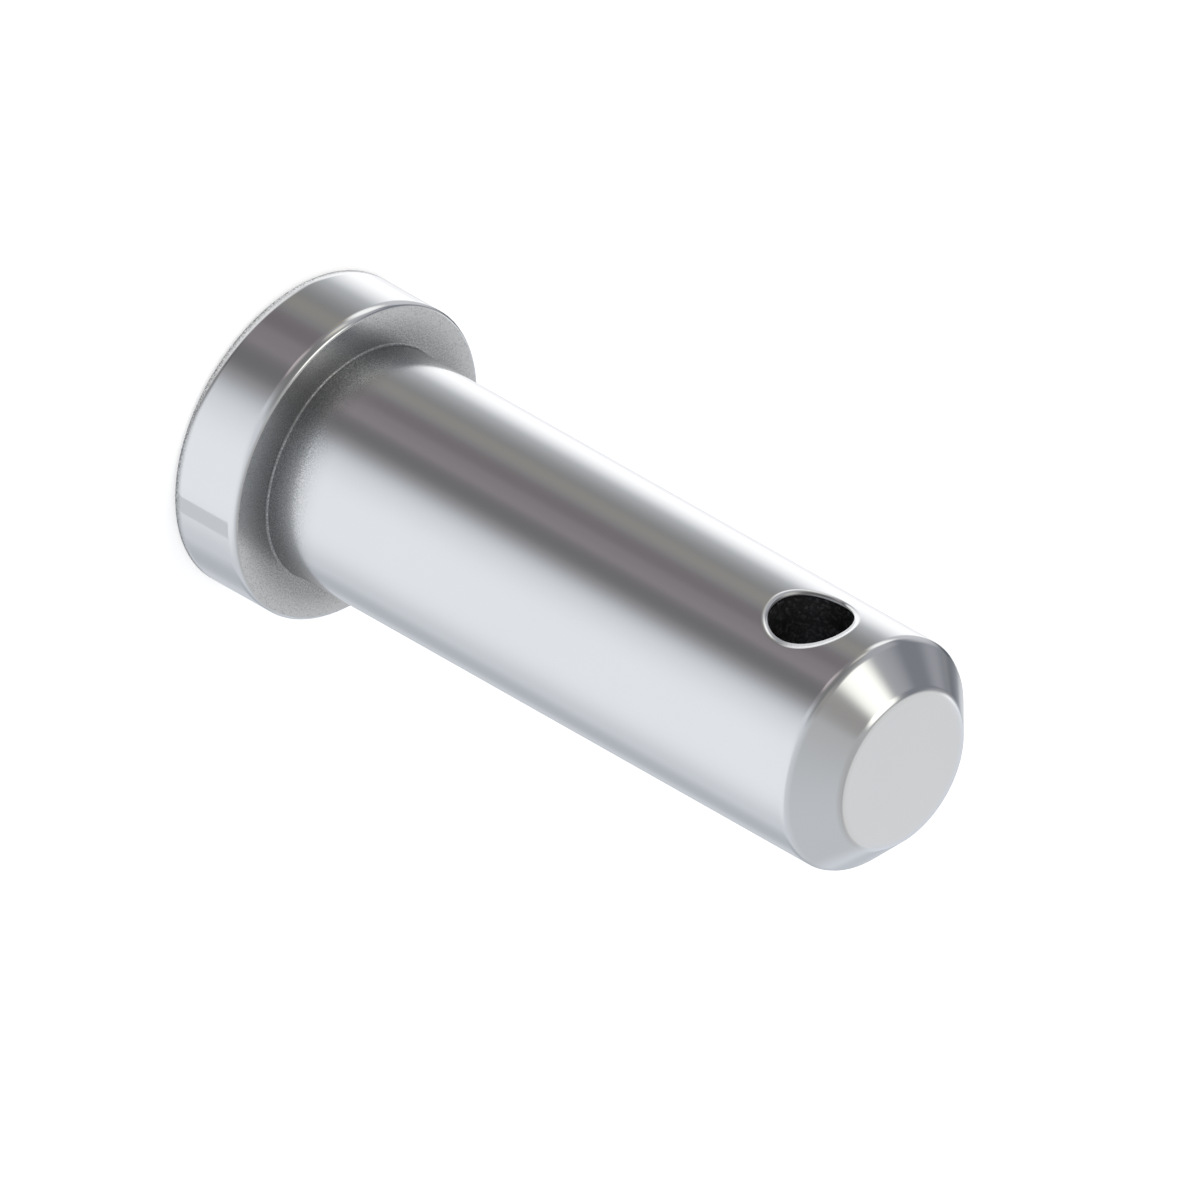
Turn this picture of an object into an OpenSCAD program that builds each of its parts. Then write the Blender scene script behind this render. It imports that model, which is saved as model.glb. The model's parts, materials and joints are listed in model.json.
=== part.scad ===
// Gauge wheel pin
// A turned steel pin: flat disc head, plain shank, short cone at the far end and one
// cross hole for the retaining clip. It is a single solid.
// The pin stands on its head. Its axis is Z, the outer face of the head lies at height
// zero, the cone points up and the cross hole runs along Y.
// All sizes are in millimetres.

/* [Head] */

// Diameter of the disc head
head_d = 25.7; // [25:0.1:36]

// Thickness of the disc head
head_h = 6.5; // [3:0.1:12]

// Rounding of both rims of the head
head_edge_r = 0.6; // [0.1:0.05:1]

/* [Shank] */

// Diameter of the shank
shank_d = 19.05; // [14:0.05:22]

// Distance from the bearing face of the head to the centre of the cross hole
grip_length = 47.6; // [30:0.1:90]

// Fillet in the corner between the bearing face and the shank
root_r = 0.2; // [0.1:0.05:0.6]

/* [Cross hole] */

// Diameter of the cross hole
hole_d = 6.5; // [4:0.1:8]

// Rounding of the rims where the cross hole leaves the shank
hole_edge_r = 0.5; // [0.2:0.05:0.8]

// Straight shank left between the cross hole and the cone
hole_land = 3.2; // [1.5:0.05:10]

/* [Cone end] */

// Height of the cone at the far end
cone_h = 3.1; // [1:0.1:5]

// Diameter of the flat end of the cone, measured at its unrounded corner
flat_d = 12.85; // [8:0.05:13]

// Rounding between the shank and the cone
cone_edge_r = 1.2; // [0.1:0.1:2]

// Rounding between the cone and the flat end
flat_edge_r = 1.3; // [0.2:0.1:2]

/* [Hidden] */

steel = [0.78, 0.78, 0.79];

// Sides of a full circle
$fn = 128;

// A rounding takes up at most this share of the shorter side beside its corner
side_share = 0.45;

// Steps round each hole rim, and steps across its rounding
rim_steps = 72;
arc_steps = 6;

// How far the rim cutter is moved out of the metal, as a share of the rounding. It then
// crosses the bore and the shank, where a true tangent would only touch them
breakout = 0.03;

// How far a cutting body reaches past the surface that it cuts
overcut = 0.6;

head_r = head_d / 2;
shank_r = shank_d / 2;
flat_r = flat_d / 2;
hole_r = hole_d / 2;
hole_z = head_h + grip_length;
cone_z = hole_z + hole_r + hole_land;
total_h = cone_z + cone_h;

// Corners of the turned outline, from the head up: [radius, height, rounding]
corners = [
    [0, 0, 0],
    [head_r, 0, head_edge_r],
    [head_r, head_h, head_edge_r],
    [shank_r, head_h, root_r],
    [shank_r, cone_z, cone_edge_r],
    [flat_r, total_h, flat_edge_r],
    [0, total_h, 0]
];
last = len(corners) - 1;
rounded = [1 : last - 1];

function unit(v) = v / norm(v);
function place(i) = [corners[i][0], corners[i][1]];
function to_prev(i) = unit(place(i - 1) - place(i));
function to_next(i) = unit(place(i + 1) - place(i));
function half_angle(i) = acos(to_prev(i) * to_next(i)) / 2;

// Length of the shorter of the two sides that meet at a corner
function shorter_side(i) =
    min(norm(place(i - 1) - place(i)), norm(place(i + 1) - place(i)));

// Radius of a corner's rounding, limited so that its neighbours keep their room
function rounding(i) =
    min(corners[i][2], side_share * shorter_side(i) * tan(half_angle(i)));

// Distance from a corner to the two points where its rounding starts and ends
function setback(i) = rounding(i) / tan(half_angle(i));

// Centre of the rounding of a corner
function arc_centre(i) =
    place(i) + unit(to_prev(i) + to_next(i)) * rounding(i) / sin(half_angle(i));

// True at an outer corner such as a rim of the head, false at the root of the shank
function is_outer(i) = cross(to_next(i), to_prev(i)) > 0;

// The two points that replace a rounded corner
function cut_back(i) = [
    place(i) + to_prev(i) * setback(i),
    place(i) + to_next(i) * setback(i)
];

module corner_disc(i) {
    translate(arc_centre(i)) circle(r = rounding(i));
}

// Half outline of the pin: a polygon with its corners cut back, discs that fill the
// outer corners up to their arcs, and discs that hollow out the inner corners
module turned_outline() {
    difference() {
        union() {
            polygon([
                place(0),
                for (i = rounded) each cut_back(i),
                place(last)
            ]);
            for (i = rounded) if (is_outer(i)) corner_disc(i);
        }
        for (i = rounded) if (!is_outer(i)) corner_disc(i);
    }
}

module turned_body() {
    rotate_extrude() turned_outline();
}

// The rim of the cross hole is rounded as if a ball rolled round it inside the metal,
// touching the bore and the shank at once. Angle a goes round the hole.

// Centre of the ball, seen from the middle of the cross hole
function ball_centre(a) =
    let (
        reach = hole_r + hole_edge_r,
        depth = shank_r - hole_edge_r,
        across = reach * sin(a)
    )
    [across, sqrt(depth * depth - across * across), reach * cos(a)];

// Direction from the ball to the point where it touches the bore
function to_bore(a) = [-sin(a), 0, -cos(a)];

// Direction from the ball to the point where it touches the shank
function to_shank(a) =
    let (centre = ball_centre(a))
    unit([centre[0], centre[1], 0]);

// Direction part of the way from the bore to the shank, with t from 0 to 1
function between(a, t) =
    let (
        bore = to_bore(a),
        shank = to_shank(a),
        sweep = acos(bore * shank)
    )
    (bore * sin((1 - t) * sweep) + shank * sin(t * sweep)) / sin(sweep);

// Section of the rim cutter at one angle: the arc of the ball, then three points outside
function rim_section(a) =
    let (
        bore = to_bore(a),
        shank = to_shank(a),
        centre = ball_centre(a) + (bore + shank) * hole_edge_r * breakout,
        outside = hole_edge_r + overcut
    )
    [
        centre + bore * outside,
        for (k = [0 : arc_steps]) centre + between(a, k / arc_steps) * hole_edge_r,
        centre + shank * outside,
        centre + (bore + shank) * outside / (1 + bore * shank)
    ];

// Ring that cuts one rim: the section repeated round the hole, with each strip between
// two sections closed by pairs of triangles
module rim_cutter() {
    sections = [for (s = [0 : rim_steps - 1]) rim_section(360 * s / rim_steps)];
    size = len(sections[0]);
    pairs = [
        for (s = [0 : rim_steps - 1], k = [0 : size - 1])
            let (
                here = s * size,
                on = (s + 1) % rim_steps * size,
                up = (k + 1) % size
            )
            [[here + k, here + up, on + up], [here + k, on + up, on + k]]
    ];
    polyhedron(
        points = [for (section = sections) each section],
        faces = [for (pair = pairs) each pair],
        convexity = 6
    );
}

module cross_hole() {
    translate([0, 0, hole_z]) {
        rotate([90, 0, 0]) cylinder(r = hole_r, h = shank_d + 2 * overcut, center = true);
        rim_cutter();
        rotate([0, 0, 180]) rim_cutter();
    }
}

module pin() {
    color(steel) difference() {
        turned_body();
        cross_hole();
    }
}

pin();
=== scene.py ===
# Gauge wheel pin: a turned steel pin with a disc head, a cross hole and a short cone.
# The pin stands on its head. Z is its axis and the cross hole runs along Y, in metres.

import json
import math

import bmesh
import bpy
from bpy.props import FloatProperty, FloatVectorProperty, PointerProperty
from mathutils import Matrix, Vector


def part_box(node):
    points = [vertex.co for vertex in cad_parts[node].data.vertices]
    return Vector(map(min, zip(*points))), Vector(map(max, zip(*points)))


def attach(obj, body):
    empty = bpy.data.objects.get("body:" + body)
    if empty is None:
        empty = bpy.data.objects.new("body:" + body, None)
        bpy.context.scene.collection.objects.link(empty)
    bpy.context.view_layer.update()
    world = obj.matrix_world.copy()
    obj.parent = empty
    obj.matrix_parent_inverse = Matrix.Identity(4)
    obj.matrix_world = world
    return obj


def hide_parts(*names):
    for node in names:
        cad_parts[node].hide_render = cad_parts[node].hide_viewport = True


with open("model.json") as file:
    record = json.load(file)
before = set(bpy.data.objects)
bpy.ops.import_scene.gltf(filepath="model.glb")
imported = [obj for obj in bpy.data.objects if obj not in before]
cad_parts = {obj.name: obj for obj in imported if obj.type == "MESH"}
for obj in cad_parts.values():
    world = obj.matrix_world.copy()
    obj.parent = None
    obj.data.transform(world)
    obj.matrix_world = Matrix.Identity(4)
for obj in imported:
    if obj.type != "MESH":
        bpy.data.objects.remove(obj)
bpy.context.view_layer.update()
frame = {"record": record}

bl_info = {
    "name": "Gauge Wheel Pin",
    "version": (1, 0, 0),
    "blender": (4, 5, 0),
    "location": "3D View > Sidebar > Gauge Wheel Pin",
    "description": "Makes a turned steel gauge wheel pin and a plain studio for it",
    "category": "Add Mesh",
}

PIECE = "pin_body"
NODE = "pin"
BODY = "root"

mounts = {mount["name"]: mount for mount in frame["record"]["mounts"]}
cad_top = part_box(NODE)[1]

# Faces round the pin, and rows of faces beside the cross hole. A window of this many faces
# each way, centred on the hole, is taken out and filled again round the hole
SIDES = 192
WINDOW_FACES = 32
WINDOW_HEIGHT = 0.010
WINDOW_RINGS = 6

# A collar of plain shank round the hole's rim, counted in rim widths from the bore
COLLAR = 1.5

# Faces across the fillet under the head
FILLET_FACES = 8

# How far the sharp corner is cut back at the rims of the head and of the cone's two ends
RIM_CUT = 0.0002
END_CUT = 0.00014

# The bore's painted shade turns dark this far behind the hole's edge
LIT_BORE = 0.0004

# Points closer than this are the same point
TOUCH = 1e-6

# A point or the middle of a face that is this near a ring or a plane lies on it
NEAR = 1e-5

STEEL_FINISHES = [
    "ground_shank",
    "polished_head",
    "blasted_bearing_face",
    "turned_cone",
    "faced_end",
    "hole_edge_painted_shade",
    "drilled_hole_painted_shade",
]


class PinSizes(bpy.types.PropertyGroup):
    """Sizes of the pin."""

    head_radius: FloatProperty(
        name="Head Radius",
        description="Radius of the disc head",
        default=cad_top.x,
        min=0.0,
        precision=5,
        unit="LENGTH",
    )
    head_height: FloatProperty(
        name="Head Height",
        description="Thickness of the disc head",
        default=mounts["bearing_face"]["pos_m"][2],
        min=0.0,
        precision=5,
        unit="LENGTH",
    )
    head_rounding: FloatProperty(
        name="Head Rounding",
        description="Width on the head's side over which the shading of its rims turns",
        default=0.00085,
        min=0.0,
        precision=5,
        unit="LENGTH",
    )
    face_rounding: FloatProperty(
        name="Face Rounding",
        description="Width on the head's faces over which the shading of its rims turns",
        default=0.0003,
        min=0.0,
        precision=5,
        unit="LENGTH",
    )
    shank_radius: FloatProperty(
        name="Shank Radius",
        description="Radius of the shank",
        default=mounts["shank"]["dims"]["r_mm"] / 1000,
        min=0.0,
        precision=5,
        unit="LENGTH",
    )
    root_rounding: FloatProperty(
        name="Root Rounding",
        description="Fillet between the head and the shank",
        default=0.0002,
        min=0.0,
        precision=5,
        unit="LENGTH",
    )
    hole_radius: FloatProperty(
        name="Hole Radius",
        description="Radius of the cross hole",
        default=mounts["cross_hole"]["dims"]["r_mm"] / 1000,
        min=0.0,
        precision=5,
        unit="LENGTH",
    )
    hole_height: FloatProperty(
        name="Hole Height",
        description="Height of the centre of the cross hole",
        default=mounts["cross_hole"]["pos_m"][2],
        min=0.0,
        precision=5,
        unit="LENGTH",
    )
    rim_width: FloatProperty(
        name="Rim Width",
        description="Width of the rounded rim of the cross hole",
        default=0.0005,
        min=0.0,
        precision=5,
        unit="LENGTH",
    )
    rim_depth: FloatProperty(
        name="Rim Depth",
        description="Depth of the rounded rim of the cross hole",
        default=0.00001,
        min=0.0,
        precision=5,
        unit="LENGTH",
    )
    cone_height: FloatProperty(
        name="Cone Height",
        description="Height of the cone at the far end",
        default=0.0031,
        min=0.0,
        precision=5,
        unit="LENGTH",
    )
    flat_radius: FloatProperty(
        name="Flat Radius",
        description="Radius of the flat end at its unrounded corner",
        default=0.006425,
        min=0.0,
        precision=5,
        unit="LENGTH",
    )
    cone_rounding: FloatProperty(
        name="Cone Rounding",
        description="Width beside the rim of the shank and the cone over which its shading turns",
        default=0.0005,
        min=0.0,
        precision=5,
        unit="LENGTH",
    )
    flat_rounding: FloatProperty(
        name="Flat Rounding",
        description="Width beside the rim of the flat end over which its shading turns",
        default=0.00054,
        min=0.0,
        precision=5,
        unit="LENGTH",
    )
    total_height: FloatProperty(
        name="Total Height",
        description="Height of the pin from the head to the flat end",
        default=cad_top.z,
        min=0.0,
        precision=5,
        unit="LENGTH",
    )


class PinFinish(bpy.types.PropertyGroup):
    """Colour and gloss of the steel."""

    steel: FloatVectorProperty(
        name="Steel",
        description="Colour of the bare steel",
        default=(0.76, 0.765, 0.775),
        min=0.0,
        max=1.0,
        subtype="COLOR",
    )
    # Painted shade: the bore gets this dark colour in place of the shade inside the hole
    painted_hole_shade: FloatVectorProperty(
        name="Painted Hole Shade",
        description="Colour of the oiled steel inside the cross hole",
        default=(0.18, 0.18, 0.185),
        min=0.0,
        max=1.0,
        subtype="COLOR",
    )
    # Painted shade: the ring just inside the hole's edge is darkened by this share
    painted_hole_edge_shade: FloatProperty(
        name="Painted Hole Edge Shade",
        description="Colour just inside the cross hole, as a share of the bare steel's",
        default=0.42,
        min=0.0,
        max=1.0,
        subtype="FACTOR",
    )
    shank_roughness: FloatProperty(
        name="Shank Roughness",
        description="Roughness of the ground shank",
        default=0.12,
        min=0.0,
        max=1.0,
        subtype="FACTOR",
    )
    head_roughness: FloatProperty(
        name="Head Roughness",
        description="Roughness of the polished side of the head",
        default=0.09,
        min=0.0,
        max=1.0,
        subtype="FACTOR",
    )
    bearing_shade: FloatProperty(
        name="Bearing Face Shade",
        description="Colour of the grainy face under the head, as a share of the bare steel's",
        default=0.78,
        min=0.0,
        max=1.0,
        subtype="FACTOR",
    )
    bearing_roughness: FloatProperty(
        name="Bearing Face Roughness",
        description="Roughness of the grainy face under the head",
        default=0.26,
        min=0.0,
        max=1.0,
        subtype="FACTOR",
    )
    cone_roughness: FloatProperty(
        name="Cone Roughness",
        description="Roughness of the turned cone",
        default=0.11,
        min=0.0,
        max=1.0,
        subtype="FACTOR",
    )
    end_roughness: FloatProperty(
        name="End Roughness",
        description="Roughness of the flat end",
        default=0.3,
        min=0.0,
        max=1.0,
        subtype="FACTOR",
    )


class PinStudio(bpy.types.PropertyGroup):
    """Floor, backdrop, lamp and camera."""

    floor: FloatVectorProperty(
        name="Floor",
        description="Colour of the floor",
        default=(0.9, 0.9, 0.9),
        min=0.0,
        max=1.0,
        subtype="COLOR",
    )
    backdrop: FloatVectorProperty(
        name="Backdrop",
        description="Colour of the backdrop",
        default=(1.0, 1.0, 1.0),
        min=0.0,
        max=1.0,
        subtype="COLOR",
    )
    floor_radius: FloatProperty(
        name="Floor Radius",
        description="Radius of the floor",
        default=1.5,
        min=0.0,
        unit="LENGTH",
    )
    frame_width: FloatProperty(
        name="Frame Width",
        description="Width that the camera takes in",
        default=0.08926,
        min=0.0,
        precision=5,
        unit="LENGTH",
    )
    lamp_power: FloatProperty(
        name="Lamp Power",
        description="Power of the round softbox above the pin",
        default=0.28,
        min=0.0,
        unit="POWER",
    )


def ring_edges(mesh, radius, height):
    """The edges of the ring at this radius and height."""

    def on_ring(point):
        reach = math.hypot(point.co.x, point.co.y)
        return abs(reach - radius) < NEAR and abs(point.co.z - height) < NEAR

    return [edge for edge in mesh.edges if all(on_ring(point) for point in edge.verts)]


def round_edges(mesh, edges, offset, faces):
    """Cuts these edges back with this many faces, starting at this distance from them."""
    bmesh.ops.bevel(
        mesh,
        geom=edges,
        offset=offset,
        offset_type="OFFSET",
        segments=faces,
        profile=0.5,
        affect="EDGES",
        clamp_overlap=False,
        material=-1,
    )


def banded_outline(corners):
    """Points of the outline, with one more where each rounding starts and ends."""
    places = [Vector((corner[0], 0, corner[1])) for corner in corners]
    outline = []
    for index, corner in enumerate(corners):
        place = places[index]
        before, after = corner[2:]
        if before:
            outline.append(place + (places[index - 1] - place).normalized() * before)
        outline.append(place)
        if after:
            outline.append(place + (places[index + 1] - place).normalized() * after)
    return outline


def turned_shell(sizes):
    """Spins the half outline of the pin and rounds its rims."""
    cone_start = sizes.total_height - sizes.cone_height
    low_row = sizes.hole_height - WINDOW_HEIGHT / 2
    # Radius and height of each corner, and how far its rounding reaches before and after it
    corners = [
        (0, 0, 0, 0),
        (sizes.head_radius, 0, sizes.face_rounding, sizes.head_rounding),
        (sizes.head_radius, sizes.head_height, sizes.head_rounding, sizes.face_rounding),
        (sizes.shank_radius, sizes.head_height, 0, 0),
    ]
    for row in range(WINDOW_FACES + 1):
        height = low_row + WINDOW_HEIGHT * row / WINDOW_FACES
        corners.append((sizes.shank_radius, height, 0, 0))
    corners += [
        (sizes.shank_radius, cone_start, sizes.cone_rounding, sizes.cone_rounding),
        (sizes.flat_radius, sizes.total_height, sizes.flat_rounding, sizes.flat_rounding),
        (0, sizes.total_height, 0, 0),
    ]

    mesh = bmesh.new()
    points = [mesh.verts.new(place) for place in banded_outline(corners)]
    lines = [mesh.edges.new(pair) for pair in zip(points, points[1:])]
    bmesh.ops.spin(
        mesh,
        geom=points + lines,
        cent=(0, 0, 0),
        axis=(0, 0, 1),
        dvec=(0, 0, 0),
        angle=math.tau,
        steps=SIDES,
        use_merge=True,
    )
    bmesh.ops.remove_doubles(mesh, verts=mesh.verts, dist=TOUCH)
    bmesh.ops.recalc_face_normals(mesh, faces=mesh.faces)

    rounded = [
        (sizes.head_radius, 0, RIM_CUT, 1),
        (sizes.head_radius, sizes.head_height, RIM_CUT, 1),
        (sizes.shank_radius, sizes.head_height, sizes.root_rounding, FILLET_FACES),
        (sizes.shank_radius, cone_start, END_CUT, 1),
        (sizes.flat_radius, sizes.total_height, END_CUT, 1),
    ]
    for radius, height, offset, faces in rounded:
        round_edges(mesh, ring_edges(mesh, radius, height), offset, faces)
    return mesh


def press_onto_shank(points, sizes, side, depth=0.0):
    """Moves these points along Y onto the shank, or to this depth under it."""
    for point in points:
        point.co.y = side * (math.sqrt(sizes.shank_radius**2 - point.co.x**2) - depth)


def open_window(mesh, sizes, side):
    """Takes the window round the hole out of one side and gives its border."""
    reach = sizes.shank_radius * math.sin(math.pi * WINDOW_FACES / SIDES)
    window = []
    for face in mesh.faces:
        centre = face.calc_center_median()
        if (
            centre.y * side > 0
            and abs(centre.x) < reach
            and abs(centre.z - sizes.hole_height) < WINDOW_HEIGHT / 2
        ):
            window.append(face)
    bmesh.ops.delete(mesh, geom=window, context="FACES")
    return [edge for edge in mesh.edges if edge.is_boundary]


def inner_ring(mesh, sizes, side, edges, growth, depth):
    """Extrudes a ring of edges round the hole to another width and depth."""
    grown = bmesh.ops.extrude_edge_only(mesh, edges=edges)["geom"]
    points = [item for item in grown if isinstance(item, bmesh.types.BMVert)]
    bmesh.ops.scale(
        mesh,
        vec=(growth, 1, growth),
        space=Matrix.Translation((0, 0, -sizes.hole_height)),
        verts=points,
    )
    press_onto_shank(points, sizes, side, depth)
    return [item for item in grown if isinstance(item, bmesh.types.BMEdge) and item.is_boundary]


def hole_rim(mesh, sizes, side):
    """Fills the window up to the hole on one side and gives the edges just inside it."""
    border = open_window(mesh, sizes, side)
    centre = Matrix.Translation((0, 0, sizes.hole_height))
    reach = sizes.hole_radius + sizes.rim_width * COLLAR
    circle = bmesh.ops.create_circle(
        mesh,
        cap_ends=False,
        segments=WINDOW_FACES * 4,
        radius=reach,
        matrix=centre @ Matrix.Rotation(math.pi / 2, 4, "X"),
    )["verts"]
    press_onto_shank(circle, sizes, side)
    # Each edge once, in the circle's order
    collar = list(dict.fromkeys(edge for point in circle for edge in point.link_edges))

    spokes = bmesh.ops.bridge_loops(mesh, edges=border + collar)["edges"]
    rings = bmesh.ops.subdivide_edges(
        mesh, edges=spokes, cuts=WINDOW_RINGS, use_grid_fill=True
    )["geom_inner"]
    inner = [item for item in rings if isinstance(item, bmesh.types.BMVert)]
    for point in inner:
        distance = math.hypot(point.co.x, point.co.y)
        point.co.x *= sizes.shank_radius / distance
        point.co.y *= sizes.shank_radius / distance

    # The two rings beside the edge are alike in width, so that the edge is shaded halfway
    rim_radius = sizes.hole_radius + sizes.rim_width
    rim = inner_ring(mesh, sizes, side, collar, rim_radius / reach, 0)
    edge = inner_ring(mesh, sizes, side, rim, sizes.hole_radius / rim_radius, sizes.rim_depth)
    return inner_ring(mesh, sizes, side, edge, 1, sizes.rim_depth + LIT_BORE)


def drill_cross_hole(mesh, sizes):
    """Opens the cross hole from both sides with rounded rims and joins them by the bore."""
    front = hole_rim(mesh, sizes, -1)
    # The first rim is an open border too, so it is closed off while the second is made
    cover = bmesh.ops.contextual_create(mesh, geom=front)["faces"]
    back = hole_rim(mesh, sizes, 1)
    bmesh.ops.delete(mesh, geom=cover, context="FACES_ONLY")
    bmesh.ops.bridge_loops(mesh, edges=front + back)
    bmesh.ops.recalc_face_normals(mesh, faces=mesh.faces)


def finish_of(face, sizes):
    """Which finish a face of the pin has, as a number in the list of finishes."""
    centre = face.calc_center_median()
    reach = math.hypot(centre.x, centre.y)
    from_hole = math.hypot(centre.x, centre.z - sizes.hole_height)
    in_bore = from_hole < sizes.hole_radius + TOUCH
    if in_bore and reach < sizes.shank_radius - sizes.rim_depth - LIT_BORE:
        return STEEL_FINISHES.index("drilled_hole_painted_shade")
    if in_bore:
        return STEEL_FINISHES.index("hole_edge_painted_shade")
    if centre.z > sizes.total_height - NEAR:
        return STEEL_FINISHES.index("faced_end")
    if centre.z > sizes.total_height - sizes.cone_height:
        return STEEL_FINISHES.index("turned_cone")
    beside_shank = reach > sizes.shank_radius + sizes.root_rounding
    above_head = centre.z > sizes.head_height - NEAR
    in_fillet = centre.z < sizes.head_height + sizes.root_rounding
    if above_head and (beside_shank or in_fillet):
        return STEEL_FINISHES.index("blasted_bearing_face")
    if beside_shank or centre.z < NEAR:
        return STEEL_FINISHES.index("polished_head")
    return STEEL_FINISHES.index("ground_shank")


def add_node(tree, kind, **settings):
    """Adds a node and sets its settings."""
    node = tree.nodes.new(kind)
    for name, value in settings.items():
        setattr(node, name, value)
    return node


def set_inputs(node, values):
    """Sets the inputs with these labels."""
    for label, value in values.items():
        node.inputs[label].default_value = value


def new_group(name, inputs, outputs):
    """Starts a shader node group with these named inputs and outputs."""
    group = bpy.data.node_groups.new(name, "ShaderNodeTree")
    for label, kind, value in inputs:
        socket = group.interface.new_socket(label, in_out="INPUT", socket_type=kind)
        socket.default_value = value
    for label, kind in outputs:
        group.interface.new_socket(label, in_out="OUTPUT", socket_type=kind)
    return group, group.nodes.new("NodeGroupInput"), group.nodes.new("NodeGroupOutput")


def split_from_axis(group, position):
    """Splits a position into its arm from the axis, the arm's length and its height."""
    apart = add_node(group, "ShaderNodeSeparateXYZ")
    group.links.new(position, apart.inputs[0])
    arm = add_node(group, "ShaderNodeCombineXYZ")
    group.links.new(apart.outputs["X"], arm.inputs["X"])
    group.links.new(apart.outputs["Y"], arm.inputs["Y"])
    reach = add_node(group, "ShaderNodeVectorMath", operation="LENGTH")
    group.links.new(arm.outputs[0], reach.inputs[0])
    return arm.outputs[0], reach.outputs["Value"], apart.outputs["Z"]


def turning_marks_group():
    """Fine lines that a lathe or grinder leaves round the axis, and faint blotches."""
    group, given, result = new_group(
        "turning marks",
        [
            ("Position", "NodeSocketVector", (0, 0, 0)),
            ("Lines per Metre", "NodeSocketFloat", 4000),
            ("Waviness", "NodeSocketFloat", 1),
            ("Blotches per Metre", "NodeSocketFloat", 80),
        ],
        [("Lines", "NodeSocketFloat"), ("Blotches", "NodeSocketFloat")],
    )
    link = group.links.new
    arm, reach, height = split_from_axis(group, given.outputs["Position"])
    around = add_node(group, "ShaderNodeVectorMath", operation="NORMALIZE")
    link(arm, around.inputs[0])
    wave = add_node(group, "ShaderNodeVectorMath", operation="SCALE")
    link(around.outputs[0], wave.inputs[0])
    link(given.outputs["Waviness"], wave.inputs["Scale"])

    # Height less radius grows all the way up the outline, on the cone too
    travel = add_node(group, "ShaderNodeMath", operation="SUBTRACT")
    link(height, travel.inputs[0])
    link(reach, travel.inputs[1])
    along = add_node(group, "ShaderNodeMath", operation="MULTIPLY")
    link(travel.outputs[0], along.inputs[0])
    link(given.outputs["Lines per Metre"], along.inputs[1])
    lift = add_node(group, "ShaderNodeCombineXYZ")
    link(along.outputs[0], lift.inputs["Z"])
    place = add_node(group, "ShaderNodeVectorMath", operation="ADD")
    link(wave.outputs[0], place.inputs[0])
    link(lift.outputs[0], place.inputs[1])
    lines = add_node(group, "ShaderNodeTexNoise")
    set_inputs(lines, {"Scale": 1, "Detail": 3})
    link(place.outputs[0], lines.inputs["Vector"])
    link(lines.outputs["Fac"], result.inputs["Lines"])

    blotches = add_node(group, "ShaderNodeTexNoise")
    set_inputs(blotches, {"Detail": 4})
    link(given.outputs["Position"], blotches.inputs["Vector"])
    link(given.outputs["Blotches per Metre"], blotches.inputs["Scale"])
    link(blotches.outputs["Fac"], result.inputs["Blotches"])
    return group


def blasted_grain_group():
    """Small pits of a blasted or drilled surface, and the specks that they show."""
    group, given, result = new_group(
        "blasted grain",
        [
            ("Position", "NodeSocketVector", (0, 0, 0)),
            ("Pits per Metre", "NodeSocketFloat", 5000),
        ],
        [("Pits", "NodeSocketFloat"), ("Specks", "NodeSocketFloat")],
    )
    link = group.links.new
    pits = add_node(group, "ShaderNodeTexNoise")
    set_inputs(pits, {"Detail": 2, "Roughness": 0.7})
    link(given.outputs["Position"], pits.inputs["Vector"])
    link(given.outputs["Pits per Metre"], pits.inputs["Scale"])
    link(pits.outputs["Fac"], result.inputs["Pits"])
    specks = add_node(group, "ShaderNodeMapRange", interpolation_type="SMOOTHSTEP")
    set_inputs(specks, {"From Min": 0.45, "From Max": 0.75})
    link(pits.outputs["Fac"], specks.inputs["Value"])
    link(specks.outputs["Result"], result.inputs["Specks"])
    return group


def painted_corner_shade_group():
    """Painted shade round the axis: full in a corner of the outline, then it fades."""
    group, given, result = new_group(
        "painted corner shade",
        [
            ("Position", "NodeSocketVector", (0, 0, 0)),
            ("Corner Radius", "NodeSocketFloat", 0.01),
            ("Corner Height", "NodeSocketFloat", 0.01),
            ("Reach", "NodeSocketFloat", 0.002),
            ("Specks per Metre", "NodeSocketFloat", 9000),
        ],
        [("Painted Shade", "NodeSocketFloat")],
    )
    link = group.links.new
    reach, height = split_from_axis(group, given.outputs["Position"])[1:]
    spot = add_node(group, "ShaderNodeCombineXYZ")
    link(reach, spot.inputs["X"])
    link(height, spot.inputs["Z"])
    corner = add_node(group, "ShaderNodeCombineXYZ")
    link(given.outputs["Corner Radius"], corner.inputs["X"])
    link(given.outputs["Corner Height"], corner.inputs["Z"])
    distance = add_node(group, "ShaderNodeVectorMath", operation="DISTANCE")
    link(spot.outputs[0], distance.inputs[0])
    link(corner.outputs[0], distance.inputs[1])
    fade = add_node(group, "ShaderNodeMapRange", interpolation_type="SMOOTHERSTEP")
    link(distance.outputs["Value"], fade.inputs["Value"])
    link(given.outputs["Reach"], fade.inputs["From Max"])
    set_inputs(fade, {"To Min": 1, "To Max": 0})

    # Specks of bare steel break up the painted shade
    specks = add_node(group, "ShaderNodeTexNoise")
    set_inputs(specks, {"Detail": 1})
    link(given.outputs["Position"], specks.inputs["Vector"])
    link(given.outputs["Specks per Metre"], specks.inputs["Scale"])
    cover = add_node(group, "ShaderNodeMapRange")
    set_inputs(cover, {"From Min": 0.3, "From Max": 0.7, "To Min": 1.3, "To Max": 0.3})
    link(specks.outputs["Fac"], cover.inputs["Value"])
    painted_shade = add_node(group, "ShaderNodeMath", operation="MULTIPLY", use_clamp=True)
    link(fade.outputs["Result"], painted_shade.inputs[0])
    link(cover.outputs["Result"], painted_shade.inputs[1])
    link(painted_shade.outputs[0], result.inputs["Painted Shade"])
    return group


def shaded(colour, share):
    """This share of a colour."""
    return [value * share for value in colour]


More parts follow.
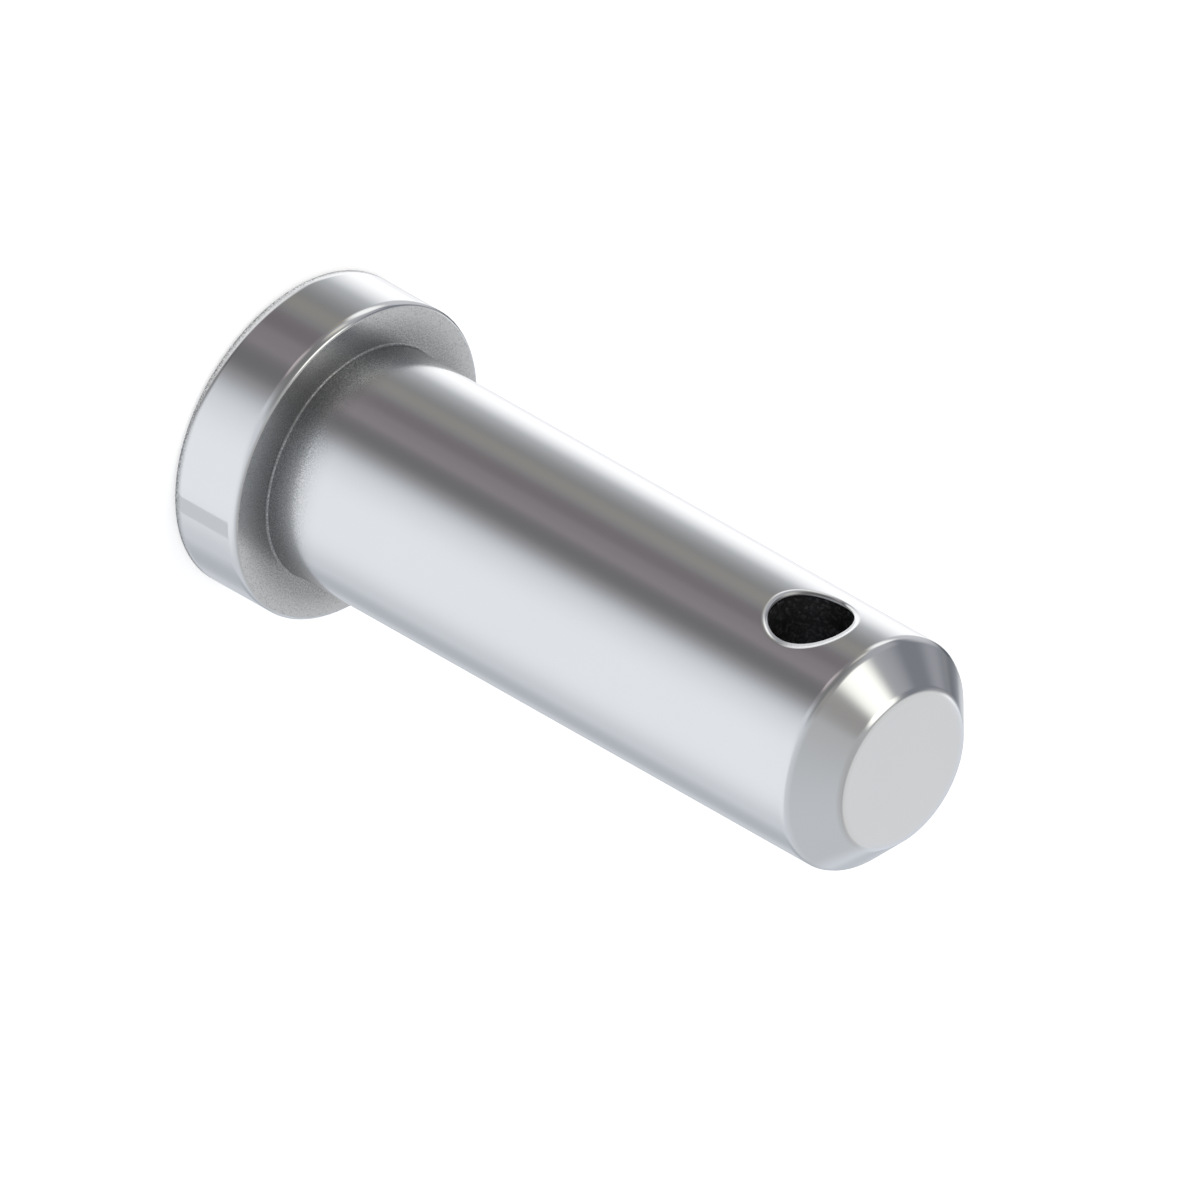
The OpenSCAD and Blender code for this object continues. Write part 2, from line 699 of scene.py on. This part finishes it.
def steel_material(name, groups, steel, roughness, depth, marks, painted_shade=None):
    """A bare steel with marks of this depth, in metres, and painted shade toward a corner, which
    also dulls it, if it has one.
    """
    material = bpy.data.materials.new(name)
    material.use_nodes = True
    tree = material.node_tree
    link = tree.links.new
    shader = tree.nodes["Principled BSDF"]
    set_inputs(shader, {"Metallic": 1})

    place = add_node(tree, "ShaderNodeTexCoord")
    effect = add_node(tree, "ShaderNodeGroup", node_tree=groups[marks["group"]])
    link(place.outputs["Object"], effect.inputs["Position"])
    set_inputs(effect, marks["values"])

    tint = add_node(tree, "ShaderNodeMix", data_type="RGBA")
    set_inputs(tint, {"A": (*steel, 1), "B": (*shaded(steel, marks["darken"]), 1)})
    link(effect.outputs[marks["tint"]], tint.inputs["Factor"])
    colour = tint.outputs["Result"]
    # Painted shade: the colour darkens toward a corner of the outline
    if painted_shade:
        painted_shade_node = add_node(tree, "ShaderNodeGroup", node_tree=groups["painted_shade"])
        link(place.outputs["Object"], painted_shade_node.inputs["Position"])
        set_inputs(painted_shade_node, painted_shade["values"])
        painted_dark = add_node(tree, "ShaderNodeMix", data_type="RGBA")
        link(painted_shade_node.outputs["Painted Shade"], painted_dark.inputs["Factor"])
        link(colour, painted_dark.inputs["A"])
        set_inputs(painted_dark, {"B": (*shaded(steel, painted_shade["darken"]), 1)})
        colour = painted_dark.outputs["Result"]
    link(colour, shader.inputs["Base Color"])

    gloss = add_node(tree, "ShaderNodeMapRange")
    spread = roughness * marks["gloss_spread"]
    set_inputs(gloss, {"To Min": roughness - spread, "To Max": roughness + spread})
    link(effect.outputs[marks["tint"]], gloss.inputs["Value"])
    dullness = gloss.outputs["Result"]
    if painted_shade:
        dull = add_node(tree, "ShaderNodeMix", data_type="FLOAT")
        link(painted_shade_node.outputs["Painted Shade"], dull.inputs["Factor"])
        link(dullness, dull.inputs["A"])
        set_inputs(dull, {"B": painted_shade["roughness"]})
        dullness = dull.outputs["Result"]
    link(dullness, shader.inputs["Roughness"])

    relief = add_node(tree, "ShaderNodeBump")
    set_inputs(relief, {"Distance": depth})
    link(effect.outputs[marks["relief"]], relief.inputs["Height"])
    link(relief.outputs["Normal"], shader.inputs["Normal"])
    return material


def steel_materials(finish, sizes):
    """The materials of the pin, in the order of the list of finishes."""
    groups = {
        "turning": turning_marks_group(),
        "grain": blasted_grain_group(),
        "painted_shade": painted_corner_shade_group(),
    }

    def turned(lines, waviness, darken=0.97, gloss_spread=0.15):
        return {
            "group": "turning",
            "values": {"Lines per Metre": lines, "Waviness": waviness},
            "tint": "Blotches",
            "relief": "Lines",
            "darken": darken,
            "gloss_spread": gloss_spread,
        }

    def grainy(pits, darken, gloss_spread=0.2):
        return {
            "group": "grain",
            "values": {"Pits per Metre": pits},
            "tint": "Specks",
            "relief": "Pits",
            "darken": darken,
            "gloss_spread": gloss_spread,
        }

    def painted_dark(corner, reach, darken, roughness, specks=9000):
        return {
            "values": {
                "Corner Radius": corner[0],
                "Corner Height": corner[1],
                "Reach": reach,
                "Specks per Metre": specks,
            },
            "darken": darken,
            "roughness": roughness,
        }

    root = (sizes.shank_radius, sizes.head_height)
    back_edge = (sizes.head_radius, 0)
    steel = finish.steel
    looks = {
        "ground_shank": {
            "steel": steel,
            "roughness": finish.shank_roughness,
            "depth": 1e-7,
            "marks": turned(lines=9000, waviness=2),
            # Painted shade on the shank, darkest in the corner under the head
            "painted_shade": painted_dark(root, reach=0.0055, darken=0.45, roughness=0.4),
        },
        "polished_head": {
            "steel": steel,
            "roughness": finish.head_roughness,
            "depth": 5e-8,
            "marks": turned(lines=6000, waviness=2),
            # Painted shade along the head's back edge, where it meets the floor
            "painted_shade": painted_dark(back_edge, reach=0.0009, darken=0.2, roughness=0.15),
        },
        "blasted_bearing_face": {
            "steel": shaded(steel, finish.bearing_shade),
            "roughness": finish.bearing_roughness,
            "depth": 3e-6,
            "marks": grainy(pits=9000, darken=0.6),
            # Painted shade on the face under the head, darkest beside the shank
            "painted_shade": painted_dark(root, reach=0.0037, darken=0.5, roughness=0.45, specks=8000),
        },
        "turned_cone": {
            "steel": steel,
            "roughness": finish.cone_roughness,
            "depth": 1e-7,
            "marks": turned(lines=8000, waviness=1),
        },
        "faced_end": {
            "steel": steel,
            "roughness": finish.end_roughness,
            "depth": 1e-7,
            "marks": turned(lines=9000, waviness=1),
        },
        # Painted shade: the ring just inside the hole's edge is darkened in place of the shade
        # there
        "hole_edge_painted_shade": {
            "steel": shaded(steel, finish.painted_hole_edge_shade),
            "roughness": 0.25,
            "depth": 1e-7,
            "marks": turned(lines=9000, waviness=1),
        },
        # Painted shade: the bore behind its lit ring is coloured dark in place of the shade in
        # the hole
        "drilled_hole_painted_shade": {
            "steel": finish.painted_hole_shade,
            "roughness": 0.5,
            "depth": 5e-6,
            "marks": grainy(pits=4000, darken=2.5),
        },
    }
    return [steel_material(name, groups, **looks[name]) for name in STEEL_FINISHES]


class GAUGEPIN_OT_make_pin(bpy.types.Operator):
    """Makes the steel pin with its head, shank, cross hole and cone"""

    bl_idname = "gaugepin.make_pin"
    bl_label = "Make Pin"

    def execute(self, context):
        sizes = context.scene.pin_sizes
        mesh = turned_shell(sizes)
        drill_cross_hole(mesh, sizes)
        if any(not edge.is_manifold for edge in mesh.edges):
            raise RuntimeError("the pin's surface is not closed")
        for face in mesh.faces:
            face.smooth = True
            face.material_index = finish_of(face, sizes)
        data = bpy.data.meshes.new(PIECE)
        mesh.to_mesh(data)
        mesh.free()
        for material in steel_materials(context.scene.pin_finish, sizes):
            data.materials.append(material)

        pin = bpy.data.objects.new(PIECE, data)
        context.scene.collection.objects.link(pin)
        shading = pin.modifiers.new("Even shading", "WEIGHTED_NORMAL")
        shading.mode = "FACE_AREA"
        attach(pin, BODY)
        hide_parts(NODE)
        return {"FINISHED"}


# Soft cards round the pin, in the order in which they stand: name, direction as azimuth
# and elevation in degrees, how far from its middle a card is full and where it has faded
# out, in degrees, and its colour. Cards below the horizon stand for the floor as well.
# Most of these values weren't chosen by hand: another program fitted them to the brightness
# of the steel in the photograph, and they were rounded and partly changed afterwards
CARDS = [
    ("floor bounce", 6, -49, 65, 127, (0.73, 0.76, 0.80)),
    ("bright sheet", 11, -30, 8, 51, (0.99, 1.01, 1.04)),
    ("dark side wall", -101, -59, 29, 48, (0.26, 0.26, 0.26)),
    ("dark curtain", -84, -23, 7, 37, (0.26, 0.24, 0.25)),
    ("left fold", -104, -39, 2, 9.5, (0.20, 0.18, 0.19)),
    ("warm hem", -124, -26, 1, 13, (0.36, 0.34, 0.30)),
    ("pale pleat", -82, -21, 1, 14.5, (0.77, 0.68, 0.70)),
    ("right fold", -70, -43, 1, 13, (0.16, 0.16, 0.17)),
    ("lit floor", -121, -73, 26, 37.5, (1.07, 1.07, 1.07)),
    ("tall window", 162, -54, 19.5, 35, (1.28, 1.29, 1.30)),
    ("dim back wall", -175, 20, 25, 43, (0.24, 0.25, 0.28)),
    ("haze", -134, 20, 6.5, 22, (0.45, 0.46, 0.49)),
    ("left horizon", -110, -2, 3, 12.5, (0.96, 0.92, 0.80)),
    ("right horizon", -170, -11, 3, 26, (0.69, 0.70, 0.73)),
    ("low lamp", -139, -17, 3.5, 17, (1.2, 1.2, 1.19)),
    ("soft lamp", -116, 55, 9, 21.5, (1.6, 1.6, 1.48)),
    ("dim front wall", -78, 12, 6, 46, (0.23, 0.23, 0.23)),
    ("front step", -69, 44, 4.5, 19, (0.36, 0.35, 0.34)),
    ("side screen", 94, -24, 2.5, 22.5, (0.50, 0.53, 0.57)),
    ("dark slot", 159, -16, 2.5, 14, (0.14, 0.15, 0.17)),
    ("end card", 139, 36, 6.5, 46.5, (0.83, 0.83, 0.825)),
    ("bright post", 153, 16, 4, 18.5, (1.11, 1.12, 1.13)),
    ("blue card", 130, 4, 8, 34.5, (0.82, 0.86, 0.93)),
    ("grey post", 126, -22, 3, 22, (0.58, 0.61, 0.66)),
    ("window blind", 148, -36, 5, 12, (1.05, 1.05, 1.07)),
    ("window frame", 133, -34, 5, 12, (0.62, 0.65, 0.69)),
]

# Colour of the room where no card stands
ROOM = (0.485, 0.49, 0.49)

# The softbox: its direction in degrees, how far it hangs, its width and its colour
LAMP_AZIMUTH = -108
LAMP_ELEVATION = 46
LAMP_DISTANCE = 0.6
LAMP_WIDTH = 0.26
LAMP_COLOUR = (1.0, 0.97, 0.9)

# Where the camera looks, from which side, and how it is turned about its own view
AIM = Vector((-0.008464, 0.008504, 0.023468))
VIEW_SIDE = Vector((1, -1, 1)).normalized()
VIEW_TURN = math.radians(119.47)
VIEW_DISTANCE = 0.5

# The strip leaves the side of the head between these two turns round the pin, in degrees.
# The camera sees a turn there mirrored to twice that turn and this angle
STRIP_TURNS = (-2.6, 3.9)
STRIP_LENGTH = 0.0092
STRIP_COLOUR = (0.71, 0.73, 0.76)
VIEW_MIRROR = 45

# The floor lies this far under the head, so that the two faces don't coincide. It has this
# many sides and shines this strongly for the rays that see the backdrop
FLOOR_GAP = 0.00005
FLOOR_SIDES = 64
FLOOR_GLOW = 0.55


def toward(azimuth, elevation):
    """Direction with this azimuth and elevation, in degrees."""
    azimuth = math.radians(azimuth)
    elevation = math.radians(elevation)
    level = math.cos(elevation)
    return Vector((level * math.cos(azimuth), level * math.sin(azimuth), math.sin(elevation)))


def soft_card_group():
    """A card with soft edges in one direction, in front of what is behind it."""
    group, given, result = new_group(
        "soft card",
        [
            ("Looking", "NodeSocketVector", (0, 0, 1)),
            ("Toward", "NodeSocketVector", (0, 0, 1)),
            ("Faded at Cosine", "NodeSocketFloat", 0),
            ("Full at Cosine", "NodeSocketFloat", 1),
            ("Behind", "NodeSocketColor", (1, 1, 1, 1)),
            ("Card", "NodeSocketColor", (1, 1, 1, 1)),
        ],
        [("Seen", "NodeSocketColor")],
    )
    link = group.links.new
    nearness = add_node(group, "ShaderNodeVectorMath", operation="DOT_PRODUCT")
    link(given.outputs["Looking"], nearness.inputs[0])
    link(given.outputs["Toward"], nearness.inputs[1])
    edge = add_node(group, "ShaderNodeMapRange", interpolation_type="SMOOTHSTEP")
    link(nearness.outputs["Value"], edge.inputs["Value"])
    link(given.outputs["Faded at Cosine"], edge.inputs["From Min"])
    link(given.outputs["Full at Cosine"], edge.inputs["From Max"])
    seen = add_node(group, "ShaderNodeMix", data_type="RGBA")
    link(edge.outputs["Result"], seen.inputs["Factor"])
    link(given.outputs["Behind"], seen.inputs["A"])
    link(given.outputs["Card"], seen.inputs["B"])
    link(seen.outputs["Result"], result.inputs["Seen"])
    return group


def either(tree, *rays):
    """A mask for any of these outputs of Light Path."""
    path = add_node(tree, "ShaderNodeLightPath")
    mask = path.outputs[rays[0]]
    for ray in rays[1:]:
        larger = add_node(tree, "ShaderNodeMath", operation="MAXIMUM")
        tree.links.new(mask, larger.inputs[0])
        tree.links.new(path.outputs[ray], larger.inputs[1])
        mask = larger.outputs[0]
    return mask


def light_room(scene, studio):
    """The world: soft cards round the pin, and a plain backdrop behind it."""
    world = bpy.data.worlds.new("soft studio")
    world.use_nodes = True
    scene.world = world
    tree = world.node_tree
    link = tree.links.new
    background = tree.nodes["Background"]
    looking = add_node(tree, "ShaderNodeTexCoord").outputs["Generated"]
    group = soft_card_group()
    seen = None
    for name, azimuth, elevation, full, faded, colour in CARDS:
        card = add_node(tree, "ShaderNodeGroup", node_tree=group, label=name)
        link(looking, card.inputs["Looking"])
        settings = {
            "Toward": toward(azimuth, elevation),
            "Faded at Cosine": math.cos(math.radians(faded)),
            "Full at Cosine": math.cos(math.radians(full)),
            "Behind": (*ROOM, 1),
            "Card": (*colour, 1),
        }
        set_inputs(card, settings)
        if seen is not None:
            link(seen, card.inputs["Behind"])
        seen = card.outputs["Seen"]

    choice = add_node(tree, "ShaderNodeMix", data_type="RGBA")
    link(either(tree, "Is Camera Ray", "Is Transmission Ray"), choice.inputs["Factor"])
    link(seen, choice.inputs["A"])
    set_inputs(choice, {"B": (*studio.backdrop, 1)})
    link(choice.outputs["Result"], background.inputs["Color"])


def flat_piece(scene, name, material_name, mesh):
    """Makes this mesh an object of the stage, and gives it and the nodes of its material."""
    data = bpy.data.meshes.new(name)
    mesh.to_mesh(data)
    mesh.free()
    piece = bpy.data.objects.new(name, data)
    scene.collection.objects.link(piece)
    material = bpy.data.materials.new(material_name)
    material.use_nodes = True
    data.materials.append(material)
    return piece, material.node_tree


def lay_floor(scene, studio):
    """A pale round floor under the head, which keeps the pin's shadow."""
    mesh = bmesh.new()
    bmesh.ops.create_circle(
        mesh,
        cap_ends=True,
        segments=FLOOR_SIDES,
        radius=studio.floor_radius,
        matrix=Matrix.Translation((0, 0, -FLOOR_GAP)),
    )
    floor, tree = flat_piece(scene, "floor", "pale_floor", mesh)
    # The cards below the horizon stand for the floor in reflections
    floor.visible_glossy = False

    shader = tree.nodes["Principled BSDF"]
    look = {
        "Base Color": (*studio.floor, 1),
        "Roughness": 1,
        "Specular IOR Level": 0,
        "Emission Color": (1, 1, 1, 1),
    }
    set_inputs(shader, look)
    rays = either(tree, "Is Camera Ray", "Is Glossy Ray", "Is Transmission Ray")
    glow = add_node(tree, "ShaderNodeMath", operation="MULTIPLY")
    tree.links.new(rays, glow.inputs[0])
    glow.inputs[1].default_value = FLOOR_GLOW
    tree.links.new(glow.outputs[0], shader.inputs["Emission Strength"])


def lay_strip(scene, sizes):
    """A grey strip on the floor beside the head, which only reflections show."""
    left, right = (math.radians(angle) for angle in STRIP_TURNS)
    corners = []
    for turn, length in ((left, 0), (right, 0), (right, STRIP_LENGTH), (left, STRIP_LENGTH)):
        # The camera sees the strip's line mirrored in the side of the head
        mirrored = 2 * turn + math.radians(VIEW_MIRROR)
        corners.append(
            (
                sizes.head_radius * math.cos(turn) + length * math.cos(mirrored),
                sizes.head_radius * math.sin(turn) + length * math.sin(mirrored),
                -FLOOR_GAP / 2,
            )
        )
    mesh = bmesh.new()
    mesh.faces.new([mesh.verts.new(corner) for corner in corners])
    strip, tree = flat_piece(scene, "strip", "grey_strip", mesh)
    strip.visible_camera = False
    strip.visible_diffuse = False
    strip.visible_transmission = False
    strip.visible_shadow = False

    look = {
        "Base Color": (0, 0, 0, 1),
        "Specular IOR Level": 0,
        "Emission Color": (*STRIP_COLOUR, 1),
        "Emission Strength": 1,
    }
    set_inputs(tree.nodes["Principled BSDF"], look)


def hang_lamp(scene, studio):
    """A round softbox above the pin."""
    data = bpy.data.lights.new("softbox", "AREA")
    data.shape = "DISK"
    data.size = LAMP_WIDTH
    data.energy = studio.lamp_power
    data.color = LAMP_COLOUR
    lamp = bpy.data.objects.new("softbox", data)
    scene.collection.objects.link(lamp)
    # The soft lamp card is its reflection, with softer edges
    lamp.visible_glossy = False
    side = toward(LAMP_AZIMUTH, LAMP_ELEVATION)
    lamp.location = side * LAMP_DISTANCE
    lamp.rotation_euler = side.to_track_quat("Z", "Y").to_euler()


def place_camera(scene, studio):
    """The camera at the photograph's viewing angle, without perspective."""
    data = bpy.data.cameras.new("camera")
    data.type = "ORTHO"
    data.ortho_scale = studio.frame_width
    data.clip_start = 0.01
    data.clip_end = 10
    camera = bpy.data.objects.new("camera", data)
    scene.collection.objects.link(camera)
    upright = VIEW_SIDE.to_track_quat("Z", "Y").to_matrix()
    turned = upright @ Matrix.Rotation(VIEW_TURN, 3, "Z")
    camera.matrix_world = Matrix.Translation(AIM + VIEW_SIDE * VIEW_DISTANCE) @ turned.to_4x4()
    scene.camera = camera


class GAUGEPIN_OT_set_stage(bpy.types.Operator):
    """Sets up the floor, the backdrop, the lamp and the camera"""

    bl_idname = "gaugepin.set_stage"
    bl_label = "Set Stage"

    def execute(self, context):
        scene = context.scene
        studio = scene.pin_studio
        scene.view_settings.view_transform = "Standard"
        light_room(scene, studio)
        lay_floor(scene, studio)
        lay_strip(scene, scene.pin_sizes)
        hang_lamp(scene, studio)
        place_camera(scene, studio)
        return {"FINISHED"}


class GAUGEPIN_PT_panel(bpy.types.Panel):
    """Sizes, finish and studio of the pin"""

    bl_idname = "GAUGEPIN_PT_panel"
    bl_label = "Gauge Wheel Pin"
    bl_space_type = "VIEW_3D"
    bl_region_type = "UI"
    bl_category = "Gauge Wheel Pin"

    def draw(self, context):
        for title, settings in (
            ("Sizes", context.scene.pin_sizes),
            ("Finish", context.scene.pin_finish),
            ("Studio", context.scene.pin_studio),
        ):
            box = self.layout.box()
            box.label(text=title)
            for name in settings.__annotations__:
                box.prop(settings, name)
        self.layout.operator(GAUGEPIN_OT_make_pin.bl_idname)
        self.layout.operator(GAUGEPIN_OT_set_stage.bl_idname)


CLASSES = (
    PinSizes,
    PinFinish,
    PinStudio,
    GAUGEPIN_OT_make_pin,
    GAUGEPIN_OT_set_stage,
    GAUGEPIN_PT_panel,
)


def register():
    for item in CLASSES:
        bpy.utils.register_class(item)
    bpy.types.Scene.pin_sizes = PointerProperty(type=PinSizes)
    bpy.types.Scene.pin_finish = PointerProperty(type=PinFinish)
    bpy.types.Scene.pin_studio = PointerProperty(type=PinStudio)


def unregister():
    del bpy.types.Scene.pin_studio
    del bpy.types.Scene.pin_finish
    del bpy.types.Scene.pin_sizes
    for item in reversed(CLASSES):
        bpy.utils.unregister_class(item)


def main():
    register()
    bpy.ops.gaugepin.set_stage()
    bpy.ops.gaugepin.make_pin()


if __name__ == "__main__":
    main()
